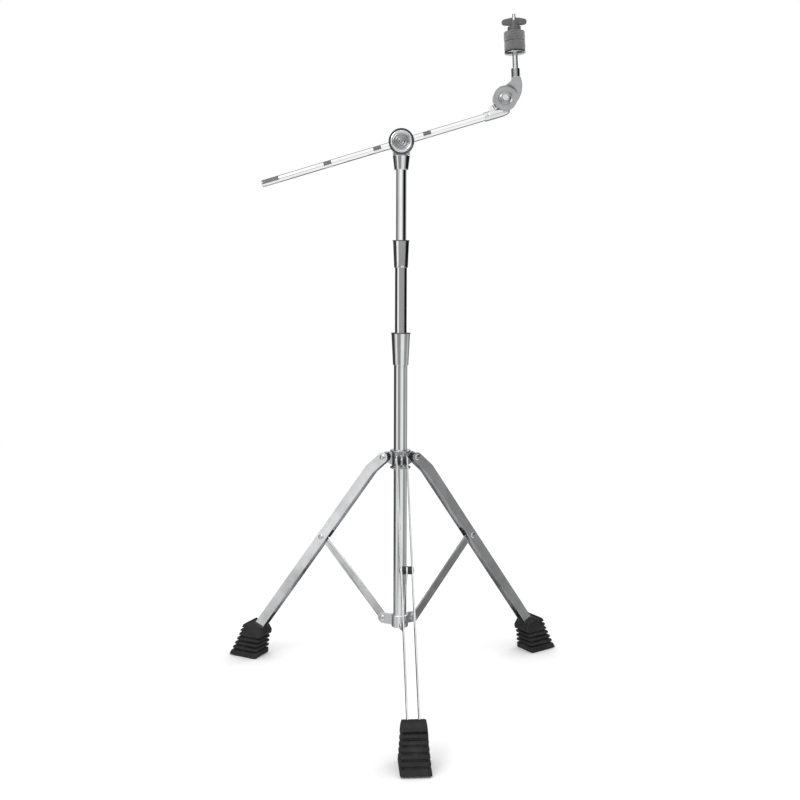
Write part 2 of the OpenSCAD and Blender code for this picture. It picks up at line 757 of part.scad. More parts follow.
module cymbal_rod() {
    bottom = arm_socket_z1 - rod_depth + gap;
    thread_r = thread_d / 2;
    pilot_z = rod_tip_z - pilot_h;
    color("silver") in_arm_frame() translate([seat_x, 0, 0]) rotate_extrude()
        polygon([[0, bottom], [shoulder_d / 2, bottom], [shoulder_d / 2, cup_z - gap],
            [thread_r, cup_z - gap], [thread_r, pilot_z - 1], [pilot_r, pilot_z],
            [pilot_r, rod_tip_z - 0.6], [pilot_r - 0.6, rod_tip_z], [0, rod_tip_z]]);
}

// A broad washer that rests on the rod's shoulder and carries the lower felt
module cup_washer() {
    bore = thread_d / 2 + run;
    color("silver") in_arm_frame() translate([seat_x, 0, 0]) rotate_extrude()
        polygon([[bore, cup_z], [cup_r / 2, cup_z], [cup_r, cup_rim_z - 1.2], [cup_r, cup_rim_z],
            [bore, cup_rim_z]]);
}

module rubber_washer() {
    color("#202020") in_arm_frame() translate([seat_x, 0, cup_rim_z + gap])
        ring(cup_r - 0.4, sleeve_r + 0.4, rubber_t);
}

module rod_sleeve() {
    z0 = cup_rim_z + gap;
    color("#303030") in_arm_frame() translate([seat_x, 0, z0])
        ring(sleeve_r, thread_d / 2 + run, nut_z() - z0 - gap);
}

function felt_z(i) = cup_rim_z + rubber_t + 3 * gap + i * (felt_t + 2 * gap);
function nut_z() = felt_z(2) + gap;

module felt(i) {
    color("#6a6a6a") in_arm_frame() translate([seat_x, 0, felt_z(i)])
        ring(felt_d / 2, sleeve_r + 0.4, felt_t);
}

module lower_felt() { felt(0); }
module upper_felt() { felt(1); }

module cymbal_wing_nut() {
    color("#303030") in_arm_frame() translate([seat_x, 0, nut_z()]) difference() {
        union() {
            cylinder(r = 12.2, h = nut_flange_h);
            cylinder(r = 8, h = nut_flange_h + 12);
            translate([0, 0, nut_flange_h - 1]) rotate([90, 0, 0]) rotate([0, 90, 0])
                wings(44.8, nut_wing_h, 6);
        }
        translate([0, 0, -eps]) cylinder(r = thread_d / 2 + run, h = 40);
    }
}

// ---------------------------------------------------------------- output

lower_tube();
tube_end_plug();
brace_bracket();
bracket_screws();
brace_pivot_rivets();
lower_height_collar();
lower_collar_bush();
lower_collar_wing_bolt();
leg_collar();
leg_pivot_rivets();
leg_pivot_spacers();
leg_collar_wing_bolt();
front_leg_left_bar();
front_leg_right_bar();
front_brace_pin();
front_brace_spacers();
front_foot();
front_brace();
front_brace_rivet_head();
left_leg_left_bar();
left_leg_right_bar();
left_brace_pin();
left_brace_spacers();
left_foot();
left_brace();
left_brace_rivet_head();
right_leg_left_bar();
right_leg_right_bar();
right_brace_pin();
right_brace_spacers();
right_foot();
right_brace();
right_brace_rivet_head();
middle_tube();
upper_height_collar();
upper_collar_bush();
upper_collar_wing_bolt();
upper_tube();
tilter_neck();
tilter_neck_pin();
boom_clamp_drum();
tilter_cap();
boom_eye_bolt();
tilter_washer();
tilter_wing_nut();
boom_liner();
boom_rod();
cymbal_tilter_base();
tilter_set_screw();
cymbal_tilter_bolt();
cymbal_tilter_wing_nut();
cymbal_tilter_arm();
cymbal_rod();
cup_washer();
rubber_washer();
rod_sleeve();
lower_felt();
upper_felt();
cymbal_wing_nut();
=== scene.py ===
"""Looks for the cymbal boom stand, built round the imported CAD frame."""

import json
import math

import bmesh
import bpy
import numpy as np
from mathutils import Matrix, Vector, noise


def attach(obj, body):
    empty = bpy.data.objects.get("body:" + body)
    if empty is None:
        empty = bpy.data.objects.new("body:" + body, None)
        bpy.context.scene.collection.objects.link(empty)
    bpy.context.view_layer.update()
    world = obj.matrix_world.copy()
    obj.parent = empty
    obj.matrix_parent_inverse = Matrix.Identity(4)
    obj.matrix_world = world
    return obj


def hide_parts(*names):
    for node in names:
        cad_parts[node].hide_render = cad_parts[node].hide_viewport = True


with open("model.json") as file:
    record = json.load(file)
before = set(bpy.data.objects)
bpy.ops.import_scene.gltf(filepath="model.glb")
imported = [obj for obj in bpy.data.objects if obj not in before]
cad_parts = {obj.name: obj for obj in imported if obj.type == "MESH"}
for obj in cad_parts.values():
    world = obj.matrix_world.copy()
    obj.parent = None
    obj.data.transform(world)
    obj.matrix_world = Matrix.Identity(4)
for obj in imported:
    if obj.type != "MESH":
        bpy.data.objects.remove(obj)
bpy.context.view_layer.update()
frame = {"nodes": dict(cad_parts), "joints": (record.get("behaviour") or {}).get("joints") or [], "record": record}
MM = 0.001
SAME_POINT = 0.001 * MM
NODES = frame["nodes"]
JOINTS = {j["name"]: j for j in frame["joints"]}
BODY_OF = {n: b for b, names in frame["record"]["behaviour"]["bodies"].items() for n in names}
SLOT_OF = {s["node"]: s["material_slot"] for s in frame["record"]["subparts"]}
SIDES = ("front", "left", "right")


# ---------------------------------------------------------------- places from the frame

def pivot(joint):
    """A joint's point and its unit axis."""
    j = JOINTS[joint]
    return Vector(j.get("pos_m", (0, 0, 0))), Vector(j["axis"]).normalized()


def points_of(node):
    """A CAD node's vertices as an array."""
    mesh = NODES[node].data
    co = np.zeros(len(mesh.vertices) * 3)
    mesh.vertices.foreach_get("co", co)
    return co.reshape(-1, 3)


def measure(node, origin, axis):
    """Where a node of revolution starts and ends along an axis, and its inner and outer radius."""
    rel = points_of(node) - np.array(origin)
    along = rel @ np.array(axis)
    radius = np.linalg.norm(rel - np.outer(along, np.array(axis)), axis=1)
    return along.min(), along.max(), radius.min(), radius.max()


def turned(axis):
    """The rotation that takes +Z to an axis."""
    return Vector((0, 0, 1)).rotation_difference(axis).to_matrix().to_4x4()


def placed(origin, axis):
    """The matrix that puts a shape drawn along +Z at a point, along an axis."""
    return Matrix.Translation(origin) @ turned(axis)


# ---------------------------------------------------------------- node materials

class Shader:
    """A material's node tree with short calls for the nodes used here."""

    def __init__(self, name):
        self.material = bpy.data.materials.new(name)
        self.material.use_nodes = True
        self.tree = self.material.node_tree
        self.surface = self.tree.nodes["Principled BSDF"]
        self.place = self.add("ShaderNodeTexCoord").outputs["Object"]

    def add(self, kind, **settings):
        """A new node with its settings."""
        node = self.tree.nodes.new(kind)
        for key, value in settings.items():
            setattr(node, key, value)
        return node

    def link(self, source, target):
        self.tree.links.new(source, target)

    def set(self, **inputs):
        """Plain values for the surface's inputs, whose names have spaces for underscores."""
        for key, value in inputs.items():
            self.surface.inputs[key.replace("_", " ")].default_value = value

    def noise(self, scale, detail=3.0, stretch=(1, 1, 1), distortion=0.0):
        """Noise with a scale in features per metre, stretched along the axes."""
        mapping = self.add("ShaderNodeMapping")
        mapping.inputs["Scale"].default_value = stretch
        self.link(self.place, mapping.inputs["Vector"])
        node = self.add("ShaderNodeTexNoise")
        node.inputs["Scale"].default_value = scale
        node.inputs["Detail"].default_value = detail
        node.inputs["Distortion"].default_value = distortion
        self.link(mapping.outputs["Vector"], node.inputs["Vector"])
        return node.outputs["Fac"]

    def spread(self, value, low, high, start=0.3, end=0.7):
        """Maps a value from start..end to low..high."""
        node = self.add("ShaderNodeMapRange")
        for key, number in (("From Min", start), ("From Max", end), ("To Min", low), ("To Max", high)):
            node.inputs[key].default_value = number
        self.link(value, node.inputs["Value"])
        return node.outputs["Result"]

    def mix(self, factor, low, high):
        """A colour between two colours."""
        node = self.add("ShaderNodeMix", data_type="RGBA")
        node.inputs["A"].default_value = (*low, 1)
        node.inputs["B"].default_value = (*high, 1)
        self.link(factor, node.inputs["Factor"])
        return node.outputs["Result"]

    def maths(self, operation, a, b):
        """A sum on two sockets or plain numbers."""
        node = self.add("ShaderNodeMath", operation=operation)
        for socket, value in zip(node.inputs, (a, b)):
            if isinstance(value, (int, float)):
                socket.default_value = value
            else:
                self.link(value, socket)
        return node.outputs["Value"]

    def bump(self, height, distance, strength=1.0, under=None):
        """Bumps the surface by a height, on top of another bump where there is one."""
        node = self.add("ShaderNodeBump")
        node.inputs["Distance"].default_value = distance
        node.inputs["Strength"].default_value = strength
        self.link(height, node.inputs["Height"])
        if under is not None:
            self.link(under, node.inputs["Normal"])
        self.link(node.outputs["Normal"], self.surface.inputs["Normal"])
        return node.outputs["Normal"]

    def convex_edges(self, width):
        """1 on convex edges and 0 on flats, from how much the normal bends within a width."""
        bevel = self.add("ShaderNodeBevel", samples=4)
        bevel.inputs["Radius"].default_value = width
        geometry = self.add("ShaderNodeNewGeometry")
        dot = self.add("ShaderNodeVectorMath", operation="DOT_PRODUCT")
        self.link(bevel.outputs["Normal"], dot.inputs[0])
        self.link(geometry.outputs["Normal"], dot.inputs[1])
        return self.spread(dot.outputs["Value"], 1.0, 0.0, 0.9, 1.0)


def chrome(name, tint, rough, patch=0.93, wave=0.0, wave_scale=9.0):
    """Bright chrome plate with fine polishing lines and smudges, in which its tint falls to patch of itself.

    A wave gives pressed sheet a slow swell of that depth, with a scale in features per metre.
    """
    s = Shader(name)
    smudge = s.noise(38, 4, distortion=0.6)
    haze = s.noise(7, 3, distortion=1.2)
    grain = s.noise(900, 2, (1, 1, 0.05))
    low = [c * patch for c in tint]
    tone = s.maths("ADD", s.spread(smudge, 0, 0.35), s.spread(haze, 0, 0.65, 0.38, 0.62))
    s.link(s.mix(tone, low, tint), s.surface.inputs["Base Color"])
    gloss = s.maths("ADD", s.spread(smudge, rough, rough * 1.9, 0.35, 0.75), s.spread(grain, 0, 0.01))
    s.link(gloss, s.surface.inputs["Roughness"])
    s.set(Metallic=1.0)
    under = None
    if wave:
        under = s.bump(s.noise(wave_scale, 1.5), wave)
    s.bump(grain, 0.01 * MM, 0.5, under)
    return s.material


def cast_metal(name, tint, rough, highlight_gain):
    """Tumbled and plated casting: soft orange peel, gloss that varies, and a painted highlight that lightens
    convex edges by a factor.
    """
    s = Shader(name)
    peel_depth = 0.06 * MM
    peel = s.noise(420, 3)
    cloud = s.noise(55, 3)
    edge = s.convex_edges(0.9 * MM)
    body = s.mix(s.spread(cloud, 0, 1), [c * 0.8 for c in tint], tint)
    # Painted highlight: convex edges get a lighter base colour, standing in for the light that rounded cast edges
    # catch.
    bright = s.add("ShaderNodeMix", data_type="RGBA")
    bright.inputs["B"].default_value = (*[min(1, c * highlight_gain) for c in tint], 1)
    s.link(edge, bright.inputs["Factor"])
    s.link(body, bright.inputs["A"])
    s.link(bright.outputs["Result"], s.surface.inputs["Base Color"])
    s.link(s.spread(cloud, rough * 0.7, rough * 1.4), s.surface.inputs["Roughness"])
    s.set(Metallic=1.0)
    s.bump(peel, peel_depth, 0.6)
    return s.material


def plastic(name, colour, rough):
    """Moulded plastic with a fine spark-eroded grain and rubbed edges."""
    s = Shader(name)
    grain = s.noise(2600, 2)
    cloud = s.noise(120, 3)
    edge = s.maths("MULTIPLY", s.convex_edges(0.5 * MM), s.spread(cloud, 0.2, 1))
    light = [min(1, c * 1.9 + 0.02) for c in colour]
    s.link(s.mix(edge, colour, light), s.surface.inputs["Base Color"])
    s.link(s.spread(cloud, rough * 0.85, rough * 1.15), s.surface.inputs["Roughness"])
    s.bump(grain, 0.03 * MM, 0.5)
    return s.material


def rubber(name, colour):
    """Moulded rubber: matt, with lighter patches that are partly real dust and partly painted highlight, greyer
    where it rubs, with a pebbled grain.
    """
    s = Shader(name)
    pebble = s.noise(1500, 3)
    dust_and_highlight = s.noise(60, 5, distortion=0.4)
    scuff = s.noise(240, 4, (1, 1, 0.3))
    edge = s.maths("MULTIPLY", s.convex_edges(1.1 * MM), s.spread(scuff, 0.3, 1, 0.35, 0.6))
    # The dust patches lighten the base colour: partly real dust, partly painted highlight for the speckled light
    # on the feet.
    amount = s.maths("ADD", s.maths("MULTIPLY", edge, 0.8), s.spread(dust_and_highlight, 0, 0.35, 0.45, 0.75))
    s.link(s.mix(amount, colour, [c * 2.8 + 0.03 for c in colour]), s.surface.inputs["Base Color"])
    s.link(s.spread(dust_and_highlight, 0.52, 0.78), s.surface.inputs["Roughness"])
    s.set(Specular_IOR_Level=0.35)
    s.bump(pebble, 0.12 * MM, 0.7)
    return s.material


def felt_cloth(name, colour):
    """Pressed wool felt: speckled light and dark fibres, soft sheen, matted surface."""
    s = Shader(name)
    fibre = s.noise(1200, 5, (1, 1, 2.2), 1.6)
    fleck = s.noise(430, 4, (1, 1, 1.6), 2.5)
    clump = s.noise(160, 3)
    dark = [c * 0.25 for c in colour]
    light = [min(1, c * 2.4 + 0.04) for c in colour]
    tone = s.maths("ADD", s.maths("MULTIPLY", fibre, 0.55), s.maths("MULTIPLY", fleck, 0.45))
    s.link(s.mix(s.spread(tone, 0, 1, 0.43, 0.57), dark, light), s.surface.inputs["Base Color"])
    s.set(Roughness=0.95, Specular_IOR_Level=0.1, Sheen_Weight=0.5, Sheen_Roughness=0.6)
    under = s.bump(clump, 0.6 * MM, 0.5)
    s.bump(fibre, 0.5 * MM, 0.9, under)
    return s.material


MATERIALS = {
    "chrome_tube": chrome("chrome_tube", (0.90, 0.91, 0.92), 0.012),
    "chrome_boom": chrome("chrome_boom", (0.97, 0.975, 0.98), 0.02, patch=0.97),
    "chrome_cone": chrome("chrome_cone", (0.90, 0.91, 0.92), 0.02, patch=0.85),
    "chrome_bar": chrome("chrome_bar", (0.86, 0.87, 0.88), 0.09, patch=0.66, wave=1.6 * MM, wave_scale=13),
    "cast_chrome": cast_metal("cast_chrome", (0.52, 0.525, 0.53), 0.13, 1.85),
    "cast_satin": cast_metal("cast_satin", (0.42, 0.425, 0.43), 0.15, 2.2),
    "cast_dark": cast_metal("cast_dark", (0.10, 0.10, 0.102), 0.12, 2.0),
    "zinc_steel": chrome("zinc_steel", (0.70, 0.71, 0.72), 0.12),
    "black_plastic": plastic("black_plastic", (0.014, 0.014, 0.015), 0.42),
    "black_rubber": rubber("black_rubber", (0.011, 0.011, 0.0115)),
    "grey_felt": felt_cloth("grey_felt", (0.078, 0.078, 0.080)),
    "nut_plastic": plastic("nut_plastic", (0.105, 0.105, 0.108), 0.33),
    # The knurl finish is dark as painted shade: it stands in for the darker reflections of the knurled chrome, not
    # a colour of its own.
    "knurl": cast_metal("knurl", (0.15, 0.15, 0.153), 0.3, 2.2),
}


# ---------------------------------------------------------------- mesh helpers

def smooth(obj, angle=32):
    """Smooth shading that keeps edges sharper than an angle."""
    for p in obj.data.polygons:
        p.use_smooth = True
    obj.data.set_sharp_from_angle(angle=math.radians(angle))


def rounded(node, width):
    """Rounds a carried-over CAD node's edges with modifiers: weld its split edges, bevel, even normals."""
    obj = NODES[node]
    weld = obj.modifiers.new("weld", "WELD")
    weld.merge_threshold = SAME_POINT
    bevel = obj.modifiers.new("round", "BEVEL")
    bevel.width = width
    bevel.segments = 2
    bevel.limit_method = "ANGLE"
    bevel.angle_limit = math.radians(30)
    bevel.use_clamp_overlap = True
    even = obj.modifiers.new("even", "WEIGHTED_NORMAL")
    even.weight = 60


def new_piece(node, made, bm, material=None):
    """A finished mesh that replaces a CAD node on its body, named after the node and how it is made."""
    name = node + "_" + made
    slot = SLOT_OF[node]
    bmesh.ops.recalc_face_normals(bm, faces=bm.faces)
    mesh = bpy.data.meshes.new(name)
    bm.to_mesh(mesh)
    bm.free()
    obj = bpy.data.objects.new(name, mesh)
    bpy.context.scene.collection.objects.link(obj)
    mesh.materials.append(MATERIALS[material or slot])
    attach(obj, BODY_OF[node])
    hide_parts(node)
    return obj


def lathe(bm, profile, matrix, segments=64, radius_at=None):
    """Turns a closed (radius, height) profile about Z. radius_at may shift a radius by height and angle."""
    rings = []
    for r, z in profile:
        ring = []
        for i in range(segments):
            a = 2 * math.pi * i / segments
            rr = radius_at(r, z, a) if radius_at else r
            ring.append(bm.verts.new(matrix @ Vector((rr * math.cos(a), rr * math.sin(a), z))))
            if r == 0:
                break
        rings.append(ring)
    for low, high in zip(rings, rings[1:] + rings[:1]):
        join_rings(bm, low, high, segments)


def join_rings(bm, low, high, segments):
    """Faces between two rings of a lathe, where a ring may be a single point on the axis."""
    if len(low) == 1 and len(high) == 1:
        return
    for i in range(segments):
        k = (i + 1) % segments
        if len(low) == 1:
            bm.faces.new((low[0], high[k], high[i]))
        elif len(high) == 1:
            bm.faces.new((low[i], low[k], high[0]))
        else:
            bm.faces.new((low[i], low[k], high[k], high[i]))


# ---------------------------------------------------------------- turned and cut pieces

def bands_of_the_boom(back):
    """Where the boom is knurled, from its tilt axis: a grip on its back end, and marks at even steps."""
    step = 94.3 * MM
    first = 49 * MM
    half = 7.2 * MM
    marks = [(first + k * step - half, first + k * step + half) for k in range(-2, 1)]
    return [(back + 1.5 * MM, back + 33 * MM)] + marks


def knurled(r, z, a, bands, depth=0.28 * MM, grooves=30, lead=1100.0):
    """The rod's radius where two sets of helical grooves cross in its bands."""
    for z0, z1 in bands:
        if z0 < z < z1:
            left = abs(math.sin(grooves * a / 2 + lead * z))
            right = abs(math.sin(grooves * a / 2 - lead * z))
            return r - depth * (1 - min(left, right))
    return r


def build_boom_rod():
    """The boom with its knurled bands; a dark finish on their upper side only is painted shade, standing in for
    the knurl's darker reflections there.
    """
    origin, axis = pivot("boom_roll")
    back, front, _, r = measure("boom_rod", origin, axis)
    bands = bands_of_the_boom(back)
    chamfer = 0.8 * MM
    heights = [back + chamfer]
    for z0, z1 in bands:
        fine = int((z1 - z0) / (0.3 * MM))
        heights += [z0 - 0.05 * MM] + [z0 + (z1 - z0) * i / fine for i in range(fine + 1)] + [z1 + 0.05 * MM]
    profile = [(0, back), (r - chamfer, back)] + [(r, z) for z in heights] + [(r, front), (0, front)]
    bm = bmesh.new()

    def surface(radius, z, a):
        return knurled(radius, z, a, bands) if radius == r else radius
    lathe(bm, profile, placed(origin, axis), 150, surface)
    rod = new_piece("boom_rod", "knurled", bm, "chrome_boom")
    # Painted shade: the dark knurl finish goes on the bands' upper side only, where the knurl's reflections look
    # darker from the front.
    rod.data.materials.append(MATERIALS["knurl"])
    up = axis.cross(Vector((0, 1, 0)))
    for p in rod.data.polygons:
        along = (p.center - origin).dot(axis)
        high = (p.center - origin).dot(up) > -0.25 * r
        p.material_index = int(high and any(z0 < along < z1 for z0, z1 in bands))
    smooth(rod, 40)


def dome(r, h, z, steps=7):
    """Profile of a domed head: from its rim at height z up to its crown at z + h."""
    points = [(r, z)]
    for i in range(1, steps + 1):
        a = math.pi / 2 * i / steps
        points.append((r * math.cos(a) if i < steps else 0, z + h * (0.25 + 0.75 * math.sin(a))))
    return points


def rivet(bm, matrix, shank_r, z0, z1, head_r, head_h):
    """A rivet's shank from z0 to z1 with a domed head above z1, and one below z0."""
    top = dome(head_r, head_h, z1)
    low = [(r, 2 * z0 - z) for r, z in dome(head_r, head_h, z0)]
    lathe(bm, low[::-1] + [(shank_r, z0), (shank_r, z1)] + top, matrix, 40)


def hull_of(bm, points):
    """The convex hull of a cloud of points, as its own closed shell."""
    vs = [bm.verts.new(p) for p in points]
    made = bmesh.ops.convex_hull(bm, input=vs, use_existing_faces=False)
    bmesh.ops.delete(bm, geom=[g for g in made["geom_interior"] if isinstance(g, bmesh.types.BMVert)],
                     context="VERTS")


def disc_points(matrix, centre, r, half_t, segments=28):
    """Points round the two rims of a flat disc in the XZ plane with softened rims."""
    points = []
    for rr, y in ((r, 0.45 * half_t), (r, -0.45 * half_t), (r * 0.9, half_t), (r * 0.9, -half_t)):
        for i in range(segments):
            a = 2 * math.pi * i / segments
            points.append(matrix @ Vector((centre[0] + rr * math.cos(a), y, centre[1] + rr * math.sin(a))))
    return points


def remeshed(bm, voxel, rounds, name="cast"):
    """Fuses overlapping closed shells into one skin and softens it, as a casting's fillets are."""
    mesh = bpy.data.meshes.new(name)
    bm.to_mesh(mesh)
    bm.free()
    obj = bpy.data.objects.new(name, mesh)
    bpy.context.scene.collection.objects.link(obj)
    fuse = obj.modifiers.new("fuse", "REMESH")
    fuse.mode = "VOXEL"
    fuse.voxel_size = voxel
    soften = obj.modifiers.new("soften", "SMOOTH")
    soften.factor = 0.5
    soften.iterations = rounds
    bpy.context.view_layer.update()
    done = bpy.data.meshes.new_from_object(obj.evaluated_get(bpy.context.evaluated_depsgraph_get()))
    bpy.data.objects.remove(obj)
    out = bmesh.new()
    out.from_mesh(done)
    bpy.data.meshes.remove(done)
    return out


def wings(bm, matrix, span, base, h, t, root_r):
    """Two cast wings that rise from a hub along +Z and spread along X."""
    tip_r = h * 0.33
    for side in (-1, 1):
        tip = (side * (span / 2 - tip_r), base + h - tip_r)
        waist = (side * (span / 4), base + h * 0.44)
        root = (side * root_r * 0.35, base + h * 0.3)
        tip_points = disc_points(matrix, tip, tip_r, t * 0.36)
        waist_points = disc_points(matrix, waist, tip_r * 0.62, t * 0.42)
        root_points = disc_points(matrix, root, tip_r * 0.8, t * 0.55)
        hull_of(bm, tip_points + waist_points)
        hull_of(bm, waist_points + root_points)


def hub_profile(hub_r, z0, z1):
    """A hub that steps in towards its crown."""
    mid = z0 + (z1 - z0) * 0.55
    crown = hub_r * 0.8
    return [(0, z0), (hub_r, z0), (hub_r, mid), (crown, mid + hub_r * 0.2), (crown, z1), (0, z1)]


def build_wing_bolt(node, joint):
    """One of the collars' locks: the shank stays plain inside, and the head is a cast wing."""
    origin, axis = pivot(joint)
    start, end, _, _ = measure(node, origin, axis)
    head = end - 18 * MM
    hub_r = 6.5 * MM
    shank_r = 4 * MM
    chamfer = 0.8 * MM
    frame_of = Matrix.Translation(origin) @ upright(axis)
    bm = bmesh.new()
    lathe(bm, hub_profile(hub_r, head, head + 10 * MM), frame_of, 48)
    wings(bm, frame_of, 34 * MM, head + 2 * MM, 16 * MM, 5.2 * MM, hub_r)
    bm = remeshed(bm, 0.45 * MM, 7)
    shank_end = head + 1 * MM
    tip = [(0, start), (shank_r - chamfer, start), (shank_r, start + chamfer)]
    lathe(bm, tip + [(shank_r, shank_end), (0, shank_end)], frame_of, 40)
    piece = new_piece(node, "cast", bm, "cast_chrome")
    smooth(piece, 50)


def upright(axis):
    """The rotation that takes +Z to a level axis and +X to straight up, so that wings stand upright."""
    x = Vector((0, 0, 1))
    y = axis.cross(x).normalized()
    x = y.cross(axis).normalized()
    return Matrix((x, y, axis)).transposed().to_4x4()


def build_wing_nut(node, joint, hub_r, span, h, t, base, bore):
    """A cast wing nut: a hub with a bore, and two wings that rise from a height on it."""
    origin, axis = pivot(joint)
    start, end, _, _ = measure(node, origin, axis)
    frame_of = Matrix.Translation(origin) @ upright(axis)
    bm = bmesh.new()
    lathe(bm, hub_profile(hub_r, start, start + 0.62 * (end - start)), frame_of, 48)
    wings(bm, frame_of, span, start + base, h, t, hub_r)
    bm = remeshed(bm, 0.4 * MM, 6)
    piece = new_piece(node, "cast", bm, "cast_chrome")
    drill(piece, frame_of, bore, start - 1 * MM, end + 1 * MM)
    smooth(piece, 50)


def build_cymbal_nut():
    """The moulded nut over the felts: a broad flange, a hub, and two fat lens-shaped wings."""
    node = "cymbal_wing_nut"
    origin, axis = pivot("cymbal_nut_turn")
    start, end, _, reach = measure(node, origin, axis)
    frame_of = Matrix.Translation(origin) @ wings_along_x(axis)
    flange_r = 12.2 * MM
    flange_h = 7.8 * MM
    hub_r = 7.6 * MM
    bm = bmesh.new()
    flange_top = start + flange_h
    lathe(bm, [(0, start), (flange_r, start), (flange_r, flange_top), (0, flange_top)], frame_of, 64)
    hub_top = end - 5 * MM
    lathe(bm, [(0, start), (hub_r, start), (hub_r * 0.86, hub_top), (0, hub_top)], frame_of, 48)
    tip_r = 5.4 * MM
    root_r = 6.9 * MM
    for side in (-1, 1):
        root = disc_points(frame_of, (side * 6 * MM, end - root_r), root_r, 3 * MM)
        tip = disc_points(frame_of, (side * (reach - tip_r), end - root_r - 0.6 * MM), tip_r, 2.3 * MM)
        hull_of(bm, root + tip)
    bm = remeshed(bm, 0.4 * MM, 5)
    nut = new_piece(node, "moulded", bm)
    drill(nut, frame_of, 4.15 * MM, start - 1 * MM, end + 1 * MM)
    smooth(nut, 50)


def wings_along_x(axis):
    """The rotation that takes +Z to a standing axis and keeps +X near the frame's own."""
    y = axis.cross(Vector((1, 0, 0))).normalized()
    return Matrix((y.cross(axis).normalized(), y, axis)).transposed().to_4x4()


def drill(obj, matrix, r, z0, z1):
    """Cuts a round bore through a piece."""
    bm = bmesh.new()
    lathe(bm, [(0, z0), (r, z0), (r, z1), (0, z1)], matrix, 40)
    subtract(obj, bm)


def subtract(obj, bm):
    """Cuts a closed shell out of a piece and applies the cut."""
    bmesh.ops.recalc_face_normals(bm, faces=bm.faces)
    mesh = bpy.data.meshes.new("tool")
    bm.to_mesh(mesh)
    bm.free()
    tool = bpy.data.objects.new("tool", mesh)
    bpy.context.scene.collection.objects.link(tool)
    cut = obj.modifiers.new("cut", "BOOLEAN")
    cut.operation = "DIFFERENCE"
    cut.object = tool
    cut.solver = "MANIFOLD"
    bpy.context.view_layer.update()
    done = bpy.data.meshes.new_from_object(obj.evaluated_get(bpy.context.evaluated_depsgraph_get()))
    obj.modifiers.clear()
    bpy.data.objects.remove(tool)
    bm = bmesh.new()
    bm.from_mesh(done)
    drop_crumbs(bm)
    bm.to_mesh(done)
    bm.free()
    obj.data = done


def shells_of(bm):
    """A mesh's separate shells, each as a list of its vertices."""
    seen = set()
    shells = []
    for start in bm.verts:
        if start in seen:
            continue
        seen.add(start)
        shell = [start]
        for v in shell:
            fresh = {e.other_vert(v) for e in v.link_edges} - seen
            seen |= fresh
            shell += fresh
        shells.append(shell)
    return shells


def drop_crumbs(bm):
    """Keeps the largest shell only, without the crumbs that a cut or a remesh leaves beside it."""
    crumbs = sorted(shells_of(bm), key=len)[:-1]
    bmesh.ops.delete(bm, geom=[v for shell in crumbs for v in shell], context="VERTS")


def cap_profile(front, back, r, ring_out, ring_in):
    """The cap's outline: its back, a rounded rim, a swelling ring, and a dish with ripples to its middle."""
    rim = 1.1 * MM
    profile = [(0, back), (r, back), (r, front + rim)]
    for i in range(1, 7):
        a = math.pi * i / 6
        profile.append((r - rim + rim * math.cos(a), front + rim - rim * math.sin(a)))
    seat = front + 1.6 * MM
    profile += [(ring_out + 0.3 * MM, front + 2.2 * MM), (ring_out, seat)]
    for i in range(1, 6):
        part = i / 6
        swell = 1.1 * MM * math.sin(math.pi * part)
        profile.append((ring_out + (ring_in - ring_out) * part, seat - swell))
    profile += [(ring_in, seat), (ring_in - 0.4 * MM, front + 2 * MM)]
    dish = ring_in - 0.8 * MM
    pitch = 4.7 * MM
    steps = 36
    for i in range(steps + 1):
        q = dish * (1 - i / steps)
        ripple = 0.8 * MM * math.cos(2 * math.pi * q / pitch)
        profile.append((q, front + 1.5 * MM - ripple))
    return profile


def cap_beads(bm, matrix, front, circle_r, beads=10):
    """Small domes round the cap's ring."""
    bead_r = 1.7 * MM
    height = 0.8 * MM
    base = front + 1.1 * MM
    for i in range(beads):
        a = 2 * math.pi * (i + 0.5) / beads
        centre = Vector((circle_r * math.cos(a), circle_r * math.sin(a), 0))
        low = [(0, front + 1.8 * MM), (bead_r, front + 1.8 * MM)]
        arc = [(bead_r * math.cos(t), base - height * math.sin(t))
               for t in (math.pi / 2 * k / 5 for k in range(5))]
        lathe(bm, low + arc + [(0, base - height)], matrix @ Matrix.Translation(centre), 16)


def build_cap():
    """The tilter's round cap: a dark rounded rim, a bright beaded ring, and a satin dish of plain rings."""
    origin, axis = pivot("boom_tilt")
    front, back, _, r = measure("tilter_cap", origin, axis)
    matrix = placed(origin, axis)
    ring_out = r - 2.7 * MM
    ring_in = 15 * MM
    bm = bmesh.new()
    lathe(bm, cap_profile(front, back, r, ring_out, ring_in), matrix, 96)
    cap_beads(bm, matrix, front, (ring_out + ring_in) / 2)
    cap = new_piece("tilter_cap", "turned", bm)
    for finish in ("cast_dark", "zinc_steel", "cast_satin"):
        cap.data.materials.append(MATERIALS[finish])
    for p in cap.data.polygons:
        rel = p.center - origin
        radius = (rel - axis * rel.dot(axis)).length
        if radius > ring_out:
            p.material_index = 1
        elif radius < ring_in - 0.2 * MM:
            p.material_index = 3
        elif rel.dot(axis) < front + 2 * MM:
            p.material_index = 2
    smooth(cap, 35)


def build_rivets():
    """Domed rivets at the leg pivots and the brace pins."""
    for side in SIDES:
        node = side + "_brace_pin"
        origin, axis = pivot(side + "_brace_fold")
        z0, z1, _, _ = measure(node, origin, axis)
        head = 2.2 * MM
        bm = bmesh.new()
        rivet(bm, placed(origin, axis), 3.5 * MM, z0 + head, z1 - head, 5.6 * MM, head)
        smooth(new_piece(node, "domed", bm), 40)
    bm = bmesh.new()
    for side in SIDES:
        origin, axis = pivot(side + "_leg_fold")
        half = 13.45 * MM
        head = 2.4 * MM
        rivet(bm, placed(origin, axis), 4 * MM, head - half, half - head, 6 * MM, head)
    smooth(new_piece("leg_pivot_rivets", "domed", bm), 40)


